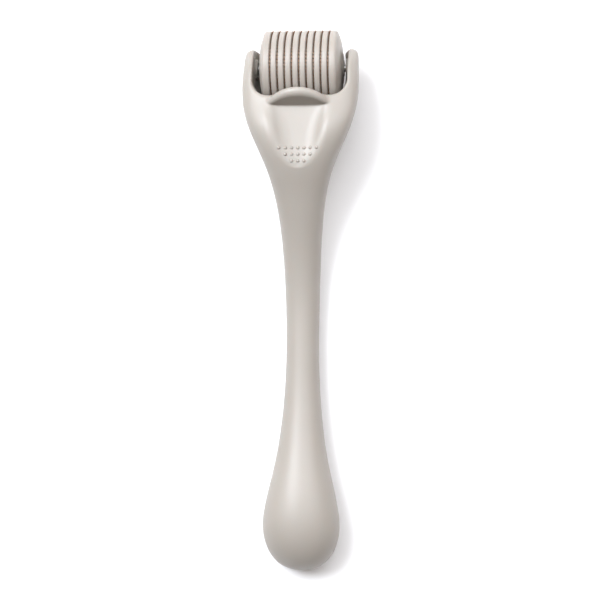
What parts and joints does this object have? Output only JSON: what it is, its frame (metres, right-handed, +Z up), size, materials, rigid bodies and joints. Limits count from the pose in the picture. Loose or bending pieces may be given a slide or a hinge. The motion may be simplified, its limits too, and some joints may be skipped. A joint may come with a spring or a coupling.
{
  "type": "derma roller",
  "caption": "Handheld skin roller: a drum of fine needle discs turns in a two-armed fork, with a thumb recess, a slim neck and a bulb-shaped end.",
  "frame": {"origin": "on the surface the roller lies on, below the middle of its length and width", "axes": "+Y along the handle from the bulb to the drum, +Z up through the thumb recess, +X along the drum's axis"},
  "size_m": [0.0308, 0.1452, 0.0243],
  "materials": {
    "handle_plastic": "satin moulded ABS, warm grey",
    "drum_plastic": "satin moulded polycarbonate, warm grey",
    "core_plastic": "moulded, hidden inside the drum",
    "needle_steel": "etched stainless steel sheet",
    "pin_steel": "ground stainless steel wire"
  },
  "bodies": {
    "handle": {"front_shell": "handle_plastic", "back_shell": "handle_plastic", "axle_pin": "pin_steel"},
    "roller": {"drum_core": "core_plastic", "end_cap_left": "drum_plastic", "end_cap_right": "drum_plastic", "needle_disc_1": "needle_steel", "needle_disc_2": "needle_steel", "needle_disc_3": "needle_steel", "needle_disc_4": "needle_steel", "needle_disc_5": "needle_steel", "needle_disc_6": "needle_steel", "needle_disc_7": "needle_steel", "needle_disc_8": "needle_steel", "needle_disc_9": "needle_steel", "spacer_ring_1": "drum_plastic", "spacer_ring_2": "drum_plastic", "spacer_ring_3": "drum_plastic", "spacer_ring_4": "drum_plastic", "spacer_ring_5": "drum_plastic", "spacer_ring_6": "drum_plastic", "spacer_ring_7": "drum_plastic", "spacer_ring_8": "drum_plastic"}
  },
  "joints": [
    {"name": "roller_spin", "type": "hinge", "parent": "handle", "child": "roller", "pos_m": [0, 0.06235, 0.01025], "axis": [1, 0, 0], "continuous": true}
  ]
}
